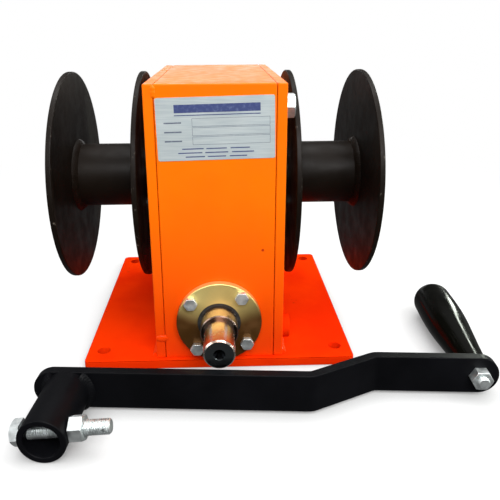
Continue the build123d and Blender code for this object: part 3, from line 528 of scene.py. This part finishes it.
def slot_materials():
    """One finished material for each slot of the record."""
    shaft_centre = input_axis()
    flange_low, flange_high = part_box("left_outer_flange")
    rim = (flange_high.z - flange_low.z) / 2
    height = drum_axis_height()

    def round_stock(name, color, shade, roughness, across="Y"):
        return turned(name, color, shade, roughness, shaft_centre, across)[0].material

    base = enamel(
        "base_enamel", (0.82, 0.034, 0.001), (0.72, 0.020, 0.001), 0.5,
        chips=-0.18, chip_color=(0.30, 0.03, 0.01), Specular_IOR_Level=0.0,
    )
    crank = enamel(
        "crank_enamel", (0.0022, 0.0023, 0.0029), (0.0042, 0.0043, 0.0055), 0.42, peel=0.00005,
        Specular_IOR_Level=0.06,
    )
    return {
        "casing_paint": casing_enamel(),
        "base_paint": base.material,
        "drum_paint": rubbed_black(
            "drum_enamel", (0.0058, 0.0036, 0.0022), (0.010, 0.0062, 0.0038), height, rim, 0.46
        ),
        "crank_paint": crank.material,
        "brass_flange": brass_disc(),
        "bronze": round_stock("bronze", (0.60, 0.36, 0.14), (0.42, 0.24, 0.10), 0.35),
        "shaft_steel": shaft_steel(),
        "gear_steel": round_stock("gear_steel", (0.36, 0.35, 0.34), (0.22, 0.21, 0.2), 0.34),
        "zinc_fasteners": plated("zinc_plate", (0.80, 0.84, 0.84), (0.68, 0.72, 0.72), 0.46),
        "dull_fasteners": plated("dull_zinc", (0.50, 0.50, 0.48), (0.34, 0.34, 0.33), 0.38),
        "cast_hub": enamel(
            "cast_iron", (0.06, 0.058, 0.056), (0.035, 0.033, 0.032), 0.6, peel=0.0002
        ).material,
        "gasket_sheet": rubbery("gasket_sheet", (0.045, 0.05, 0.045), 0.75),
        "seal_rubber": rubbery("seal_rubber", (0.012, 0.012, 0.012), 0.55),
        "grip_plastic": grip_plastic(),
        "label_foil": foil(),
        "copper_washer": round_stock("copper", (0.78, 0.38, 0.22), (0.5, 0.24, 0.14), 0.34, "X"),
    }


def dress_nodes(materials):
    """Gives every CAD node the finished material of its slot."""
    for entry in frame["record"]["subparts"]:
        piece = frame["nodes"][entry["node"]]
        piece.data.materials.clear()
        piece.data.materials.append(materials[entry["material_slot"]])


def soften(node, width):
    """Rounds a CAD node's sharp edges by a hair, as machining and paint leave them."""
    piece = frame["nodes"][node]
    mesh = piece.data
    if "custom_normal" in mesh.attributes:
        mesh.attributes.remove(mesh.attributes["custom_normal"])
    mesh.shade_smooth()
    weld = piece.modifiers.new("weld", "WELD")
    weld.merge_threshold = 2e-6
    planar = piece.modifiers.new("planar", "DECIMATE")
    planar.decimate_type = "DISSOLVE"
    planar.angle_limit = radians(0.6)
    bevel = piece.modifiers.new("bevel", "BEVEL")
    bevel.limit_method = "ANGLE"
    bevel.angle_limit = radians(32)
    bevel.width = width
    bevel.segments = 2
    bevel.use_clamp_overlap = False
    weight = piece.modifiers.new("weight", "WEIGHTED_NORMAL")
    weight.keep_sharp = False
    weight.weight = 60


# ---------------------------------------------------------------- pieces


def crank_point(right, back, height):
    """A point in the crank's own frame."""
    return CRANK_ORIGIN + CRANK_RIGHT * right + CRANK_BACK * back + UP * height


def drill(piece, start, direction, radius, length):
    """Cuts a round hole through a piece."""
    side = direction.orthogonal().normalized()
    verts, faces = lathe([(0, radius), (length, radius)], start, direction, side, 24)
    mesh = bpy.data.meshes.new("drill")
    mesh.from_pydata([tuple(v) for v in verts], [], faces)
    tool = bpy.data.objects.new("drill", mesh)
    bpy.context.scene.collection.objects.link(tool)
    work = bmesh.new()
    work.from_mesh(mesh)
    bmesh.ops.recalc_face_normals(work, faces=work.faces)
    work.to_mesh(mesh)
    work.free()
    cut = piece.modifiers.new("cut", "BOOLEAN")
    cut.operation = "DIFFERENCE"
    cut.object = tool
    cut.solver = "EXACT"
    bpy.context.view_layer.update()
    graph = bpy.context.evaluated_depsgraph_get()
    done = bpy.data.meshes.new_from_object(piece.evaluated_get(graph))
    piece.modifiers.clear()
    piece.data = done
    bpy.data.objects.remove(tool)
    done.shade_smooth()
    done.set_sharp_from_angle(angle=SHARP_ANGLE)


def cross_bolt(materials):
    """The M14 bolt through the socket's mouth, threaded to the head, with a cotter hole."""
    from_mouth = 16 * MM
    head, thread_length, radius = 8.8 * MM, 80 * MM, 7 * MM
    thread_start = head + 0.6 * MM
    out = CRANK_RIGHT * cos(CROSS_BOLT_ROLL) + UP * sin(CROSS_BOLT_ROLL)
    above = UP * cos(CROSS_BOLT_ROLL) - CRANK_RIGHT * sin(CROSS_BOLT_ROLL)
    stations = hex_head_stations(0, head, 21 * MM)
    stations.append((head, 1.02 * radius))
    stations += thread_stations(thread_start, thread_length - 0.6 * MM, radius, 2 * MM, 1.4 * MM)
    stations.append((head + thread_length, TIP_RADIUS))
    middle = crank_point(0, from_mouth - SOCKET_LENGTH, CRANK_AXIS_HEIGHT)
    verts, faces = lathe(stations, middle - out * (SOCKET_RADIUS + head), out, above, 72)
    bolt = make_object(
        "cross_bolt_threaded", verts, faces, "crank",
        materials["zinc_fasteners"], ["crank_bolt"],
    )
    hole = middle + out * (52 * MM) - CRANK_BACK * (12 * MM)
    drill(bolt, hole, CRANK_BACK, 2 * MM, 24 * MM)


def spindle(materials):
    """The grip's spindle: threaded where the nut holds it, plain in the grip, with a head."""
    start, thread_end = 21.6 * MM, 36 * MM
    head_start, head_height = 205.1 * MM, 8 * MM
    radius = 6 * MM
    stations = []
    for distance, ring in thread_stations(0, thread_end - start, radius, 1.75 * MM, 1 * MM):
        stations.append((thread_end - start - distance, ring))
    stations = [(0, TIP_RADIUS)] + stations[::-1]
    stations += [
        (thread_end - start + 0.2 * MM, radius),
        (head_start - start, radius),
        (head_start - start, 9 * MM),
        (head_start - start + head_height - 1 * MM, 9 * MM),
        (head_start - start + head_height, 8 * MM),
        (head_start - start + head_height, TIP_RADIUS),
    ]
    origin = crank_point(CRANK_THROW, start, ARM_AXIS_HEIGHT)
    verts, faces = lathe(stations, origin, CRANK_BACK, UP, 64)
    make_object(
        "grip_spindle_threaded", verts, faces, "crank",
        materials["zinc_fasteners"], ["grip_spindle"],
    )


def smooth_run(points, steps):
    """Points along a smooth curve through the given ones."""
    ends = [tuple(2 * a - b for a, b in zip(points[0], points[1])), points[-2]]
    row = [ends[0]] + list(points) + [ends[1]]
    run = []
    for before, here, there, after in zip(row, row[1:], row[2:], row[3:]):
        for i in range(steps):
            t = i / steps
            run.append(tuple(
                b + t * (c - a) / 2 + t * t * (a - 2.5 * b + 2 * c - d / 2)
                + t ** 3 * (1.5 * (b - c) + (d - a) / 2)
                for a, b, c, d in zip(before, here, there, after)
            ))
    return run + [points[-1]]


def handgrip(materials):
    """The revolving grip: a smooth pear shape with a domed end round the spindle's pocket."""
    segments = 96
    start, length = 48.8 * MM, 168 * MM
    root, end_radius, dome = 14 * MM, 22.6 * MM, 18 * MM
    pocket, pocket_depth, bore = 10 * MM, 12 * MM, 6.1 * MM
    shoulder = length - dome
    edge = 2 * MM
    outline = (
        (edge, root), (28 * MM, 16.2 * MM), (55 * MM, 19 * MM), (85 * MM, 21.9 * MM),
        (115 * MM, 23 * MM), (shoulder, end_radius),
    )
    stations = [(0, bore), (0, root - edge)]
    for i in range(1, 6):
        turn = i / 6 * pi / 2
        stations.append((edge * (1 - cos(turn)), root - edge + edge * sin(turn)))
    stations += smooth_run(outline, 8)
    last_turn = acos(pocket / end_radius)
    for i in range(1, 25):
        turn = last_turn * i / 24
        stations.append((shoulder + dome * sin(turn), end_radius * cos(turn)))
    lip = shoulder + dome * sin(last_turn)
    stations.append((lip - 0.4 * MM, pocket))
    stations.append((length - pocket_depth, pocket))
    stations.append((length - pocket_depth, bore))
    origin = crank_point(CRANK_THROW, start, ARM_AXIS_HEIGHT)
    verts, faces = lathe(stations, origin, CRANK_BACK, UP, segments)
    # The two end caps give way to the wall of the spindle's bore
    faces = faces[:-2]
    last = (len(stations) - 1) * segments
    for j in range(segments):
        k = (j + 1) % segments
        faces.append((j, k, last + k, last + j))
    make_object(
        "moulded_grip", verts, faces, "grip", materials["grip_plastic"],
        ["crank_grip"],
    )


def ring_bead(centre, radius, axis, side, leg, span=(0, 2 * pi), steps=420):
    """A bead round a tube where it meets a flat face; axis points along the tube."""
    across = axis.cross(side)
    corners, ups, outs = [], [], []
    closed = span[1] - span[0] > 2 * pi - 0.01
    for i in range(steps if closed else steps + 1):
        angle = span[0] + (span[1] - span[0]) * i / steps
        outward = side * cos(angle) + across * sin(angle)
        corners.append(centre + outward * radius)
        ups.append(outward)
        outs.append(axis)
    return bead(corners, ups, outs, leg, closed=closed)


def drum_beads(materials):
    """The welds between each barrel and its two flanges."""
    leg = 6 * MM
    for side_name in ("left", "right"):
        low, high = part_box(side_name + "_drum_barrel")
        radius = (high.z - low.z) / 2
        height = (high.z + low.z) / 2
        ends = []
        for x, way in ((low.x, 1), (high.x, -1)):
            centre = Vector((x, 0, height))
            ends.append(ring_bead(centre, radius, Vector((way, 0, 0)), UP, leg))
        verts, faces = join_parts(ends)
        make_object(
            side_name + "_drum_weld_beads", verts, faces, "drum_drive",
            materials["drum_paint"], [side_name + "_drum_welds"],
        )


def crank_beads(materials):
    """The two arcs of weld between the socket tube and the arm's face."""
    centre = crank_point(0, 0, CRANK_AXIS_HEIGHT)
    reach = radians(52)
    parts = []
    for middle in (0, pi):
        span = (middle - reach, middle + reach)
        parts.append(ring_bead(centre, SOCKET_RADIUS, -CRANK_BACK, CRANK_RIGHT, 5 * MM, span, 90))
    verts, faces = join_parts(parts)
    make_object(
        "crank_weld_beads", verts, faces, "crank", materials["crank_paint"],
        ["crank_weld"],
    )


def straight_bead(start, end, up, out, leg):
    """A bead along a straight corner."""
    steps = max(6, int((end - start).length / (0.4 * MM)))
    corners = [start.lerp(end, i / steps) for i in range(steps + 1)]
    return bead(corners, [up] * (steps + 1), [out] * (steps + 1), leg, closed=False)


def tack(start, end, out, half_width, height):
    """A low rounded run of weld over a flush seam, from start to end."""
    along = (end - start).normalized()
    across = along.cross(out)
    steps, sides = 14, 9
    verts = []
    for i in range(steps + 1):
        share = i / steps
        swell = sqrt(max(0.02, 1 - (2 * share - 1) ** 4)) * (1 + 0.10 * sin(19 * share))
        middle = start.lerp(end, share)
        for j in range(sides):
            angle = pi * j / (sides - 1)
            rise = height * swell * sin(angle) - 0.3 * MM
            verts.append(middle + across * (half_width * swell * cos(angle)) + out * rise)
    faces = grid_faces(steps + 1, sides)
    last = steps * sides
    faces.append(tuple(range(sides)))
    faces.append(tuple(range(last, last + sides)))
    return verts, faces


def casing_beads(materials):
    """The fillet welds between the casing and the base plate, and tacks on the front seams."""
    floor_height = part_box("base_plate")[1].z
    low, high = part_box("front_plate")
    forward = Vector((0, -1, 0))
    parts = []
    for node, way in (("left_side_plate", -1), ("right_side_plate", 1)):
        side_low, side_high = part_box(node)
        x = side_low.x if way < 0 else side_high.x
        start = Vector((x, side_low.y + 5 * MM, floor_height))
        end = Vector((x, side_high.y - 5 * MM, floor_height))
        parts.append(straight_bead(start, end, UP, Vector((way, 0, 0)), 5 * MM))
    foot = Vector((low.x - 10 * MM, low.y, low.z + 24 * MM))
    parts.append(tack(foot, foot + Vector((13 * MM, 0, 0)), forward, 4 * MM, 1.6 * MM))
    top = Vector((low.x - 0.3 * MM, low.y, high.z - 13 * MM))
    parts.append(tack(top, top + UP * (12 * MM), forward, 2.6 * MM, 1.3 * MM))
    verts, faces = join_parts(parts)
    make_object(
        "casing_weld_beads", verts, faces, "casing", materials["casing_paint"],
        ["casing_welds"],
    )


def label_print(materials):
    """The plate's generic print: a plain band, three ruled boxes and rows of dashes."""
    low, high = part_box("rating_plate")
    centre = (low + high) / 2
    face = Vector((centre.x, low.y, centre.z))
    tilt = radians(1.2)
    right = Vector((cos(tilt), 0, sin(tilt)))
    up = Vector((-sin(tilt), 0, cos(tilt)))
    out = Vector((0, 1, 0))
    thin = 0.04 * MM
    blue = ink("blue_ink", (0.035, 0.05, 0.16), (0.10, 0.13, 0.26))
    grey = ink("grey_ink", (0.10, 0.12, 0.17), (0.22, 0.25, 0.30))
    blue_parts, grey_parts = [], []

    def bar(parts, x, z, width, height):
        """A printed bar, in millimetres from the middle of the plate."""
        middle = face + right * (x * MM) + up * (z * MM)
        parts.append(box_part(middle, width / 2 * MM, thin, height / 2 * MM, right, out, up))

    bar(blue_parts, 2, 20, 84, 8)
    bar(blue_parts, 2, 13.6, 84, 0.9)
    for row in range(3):
        z = 6.5 - 9 * row
        bar(grey_parts, -42, z, 17, 1.4)
        for edge in (-1, 1):
            bar(grey_parts, 15, z + edge * 3.9, 76, 0.35)
            bar(grey_parts, 15 + edge * 38, z, 0.35, 7.8)
    for row, width in enumerate((70, 78, 64)):
        for dash in range(3):
            part = width / 3
            bar(blue_parts, (dash - 1) * part, -19.5 - 4 * row, part - 2.2 - dash, 1.1)
    prints = (("label_band", blue_parts, blue), ("label_rules", grey_parts, grey))
    for name, parts, material in prints:
        verts, faces = join_parts(parts)
        make_object(name, verts, faces, "casing", material)


# ---------------------------------------------------------------- studio


def make_floor():
    """A plain white floor, far larger than the view, that glows but for the corners that
    the object closes off, and takes a soft shadow close by."""
    half = 6
    verts = [(-half, -half, 0), (half, -half, 0), (half, half, 0), (-half, half, 0)]
    mesh = bpy.data.meshes.new("studio_floor")
    mesh.from_pydata(verts, [], [(0, 1, 2, 3)])
    ground = bpy.data.objects.new("studio_floor", mesh)
    bpy.context.scene.collection.objects.link(ground)
    paint = Recipe("floor_white", (0.9, 0.9, 0.9), roughness=0.9, Specular_IOR_Level=0.0)
    occlusion = paint.node("ShaderNodeAmbientOcclusion", {"Distance": 0.03}, samples=8)
    strength = paint.math("MULTIPLY_ADD", occlusion.outputs["AO"], 0.88, 0.12)
    glow = paint.node("ShaderNodeEmission", {"Color": (1, 1, 1, 1), "Strength": strength})
    x, y = paint.axes()[:2]
    share = paint.between(paint.reach(x, y), 0.20, 1.0, 0.74, 1.0)
    blend = paint.node("ShaderNodeMixShader", {0: share})
    output = paint.tree.nodes["Material Output"]
    paint.tree.links.new(paint.shader.outputs[0], blend.inputs[1])
    paint.tree.links.new(glow.outputs[0], blend.inputs[2])
    paint.tree.links.new(blend.outputs[0], output.inputs[0])
    mesh.materials.append(paint.material)
    ground.visible_diffuse = False
    ground.visible_glossy = False


def make_world():
    """White to the camera, and for the rest a dim room with a bright ceiling and a paler
    band at the horizon. A level is (height from 0 below to 1 above, brightness)."""
    world = bpy.data.worlds.new("studio")
    bpy.context.scene.world = world
    world.use_nodes = True
    tree = world.node_tree
    tree.nodes.clear()
    place = tree.nodes.new("ShaderNodeTexCoord")
    split = tree.nodes.new("ShaderNodeSeparateXYZ")
    ramp = tree.nodes.new("ShaderNodeValToRGB")
    path = tree.nodes.new("ShaderNodeLightPath")
    room = tree.nodes.new("ShaderNodeBackground")
    white = tree.nodes.new("ShaderNodeBackground")
    choose = tree.nodes.new("ShaderNodeMixShader")
    output = tree.nodes.new("ShaderNodeOutputWorld")
    shift = tree.nodes.new("ShaderNodeMapRange")
    tree.links.new(place.outputs["Generated"], split.inputs[0])
    shift.inputs["From Min"].default_value = -1
    tree.links.new(split.outputs[2], shift.inputs["Value"])
    tree.links.new(shift.outputs[0], ramp.inputs[0])
    levels = (
        (0.0, 0.16), (0.46, 0.12), (0.53, 0.34), (0.58, 0.12), (0.77, 0.14), (0.86, 0.75), (1.0, 0.9)
    )
    stops = ramp.color_ramp.elements
    stops[0].position, stops[1].position = levels[0][0], levels[-1][0]
    stops[0].color = (levels[0][1],) * 3 + (1,)
    stops[1].color = (levels[-1][1],) * 3 + (1,)
    for position, level in levels[1:-1]:
        stops.new(position).color = (level, level, level, 1)
    tree.links.new(ramp.outputs[0], room.inputs[0])
    room.inputs[1].default_value = 1.0
    white.inputs[0].default_value = (1, 1, 1, 1)
    tree.links.new(path.outputs["Is Camera Ray"], choose.inputs[0])
    tree.links.new(room.outputs[0], choose.inputs[1])
    tree.links.new(white.outputs[0], choose.inputs[2])
    tree.links.new(choose.outputs[0], output.inputs[0])


def softbox(name, place, target, width, height, power, tint=(1, 1, 1)):
    """A rectangular studio light aimed at a point."""
    light = bpy.data.lights.new(name, "AREA")
    light.shape = "RECTANGLE"
    light.size, light.size_y = width, height
    light.energy = power
    light.color = tint
    lamp = bpy.data.objects.new(name, light)
    lamp.location = place
    aim = Vector(target) - Vector(place)
    lamp.rotation_euler = aim.to_track_quat("-Z", "Y").to_euler()
    lamp.visible_camera = False
    bpy.context.scene.collection.objects.link(lamp)


def make_lights():
    """Soft light from high in front and above, strips on both sides and one low behind."""
    softbox("key", (0.25, -1.35, 1.25), (0, -0.1, 0.12), 1.3, 0.7, 32)
    softbox("overhead", (0.0, 0.25, 1.45), (0, 0, 0.1), 1.2, 0.7, 11)
    softbox("right_strip", (1.25, -0.35, 0.62), (0.1, -0.1, 0.1), 0.08, 1.0, 11, (0.96, 1.0, 0.95))
    softbox("grip_strip", (1.05, 0.95, 0.62), (0.25, -0.1, 0.02), 0.10, 0.8, 10, (0.92, 1.0, 0.88))
    softbox("left_fill", (-1.2, -0.7, 0.7), (-0.1, -0.1, 0.1), 0.5, 0.9, 6)
    softbox("back_strip", (0, 2.0, 0.48), (0, 0, 0.31), 0.9, 0.30, 2.1)


def make_camera():
    """The camera stands in front, a little above the casing, and looks down at it."""
    place = Vector((0.00345, -0.6795, 0.3613))
    yaw, pitch, roll = 0.02687, 0.31754, -0.00708
    forward = Vector((sin(yaw) * cos(pitch), cos(yaw) * cos(pitch), -sin(pitch)))
    level = Vector((cos(yaw), -sin(yaw), 0))
    above = level.cross(forward)
    right = level * cos(roll) + above * sin(roll)
    up = -level * sin(roll) + above * cos(roll)
    lens = bpy.data.cameras.new("photo_camera")
    lens.sensor_width = 36
    lens.lens = 40.43
    lens.shift_x = 0.03
    lens.shift_y = -0.08
    lens.clip_start = 0.01
    camera = bpy.data.objects.new("photo_camera", lens)
    turn = Matrix((right, up, -forward)).transposed().to_4x4()
    camera.matrix_world = Matrix.Translation(place) @ turn
    bpy.context.scene.collection.objects.link(camera)
    bpy.context.scene.camera = camera


# ---------------------------------------------------------------- the scene

make_camera()
make_world()
make_lights()
make_floor()
finishes = slot_materials()
dress_nodes(finishes)

SOFT_EDGES = {
    "base_plate": 0.8, "left_side_plate": 0.5, "right_side_plate": 0.5, "front_plate": 0.4,
    "top_plate": 0.4, "rear_frame": 0.4, "rear_cover": 0.6, "front_bearing_flange": 0.5,
    "rear_bearing_flange": 0.5, "left_bearing_housing": 0.5, "right_bearing_housing": 0.5,
    "left_inner_flange": 0.6, "right_inner_flange": 0.6, "left_outer_flange": 0.6,
    "right_outer_flange": 0.6, "crank_arm": 0.9, "crank_socket": 0.4, "crank_nut": 0.3,
    "spindle_nut": 0.3, "spindle_washer": 0.2, "front_flange_bolts": 0.3, "oil_filler_plug": 0.4,
    "drain_plug": 0.6, "rear_cover_bolts": 0.3, "rear_flange_bolts": 0.3, "housing_bolts": 0.3,
    "drum_end_bolts": 0.3, "drum_end_washers": 0.4, "rope_clamps": 0.6, "rope_clamp_bolts": 0.3,
}
for node_name, width_mm in SOFT_EDGES.items():
    soften(node_name, width_mm * MM)

cross_bolt(finishes)
spindle(finishes)
handgrip(finishes)
drum_beads(finishes)
crank_beads(finishes)
casing_beads(finishes)
label_print(finishes)

bpy.context.scene.view_settings.view_transform = "Standard"
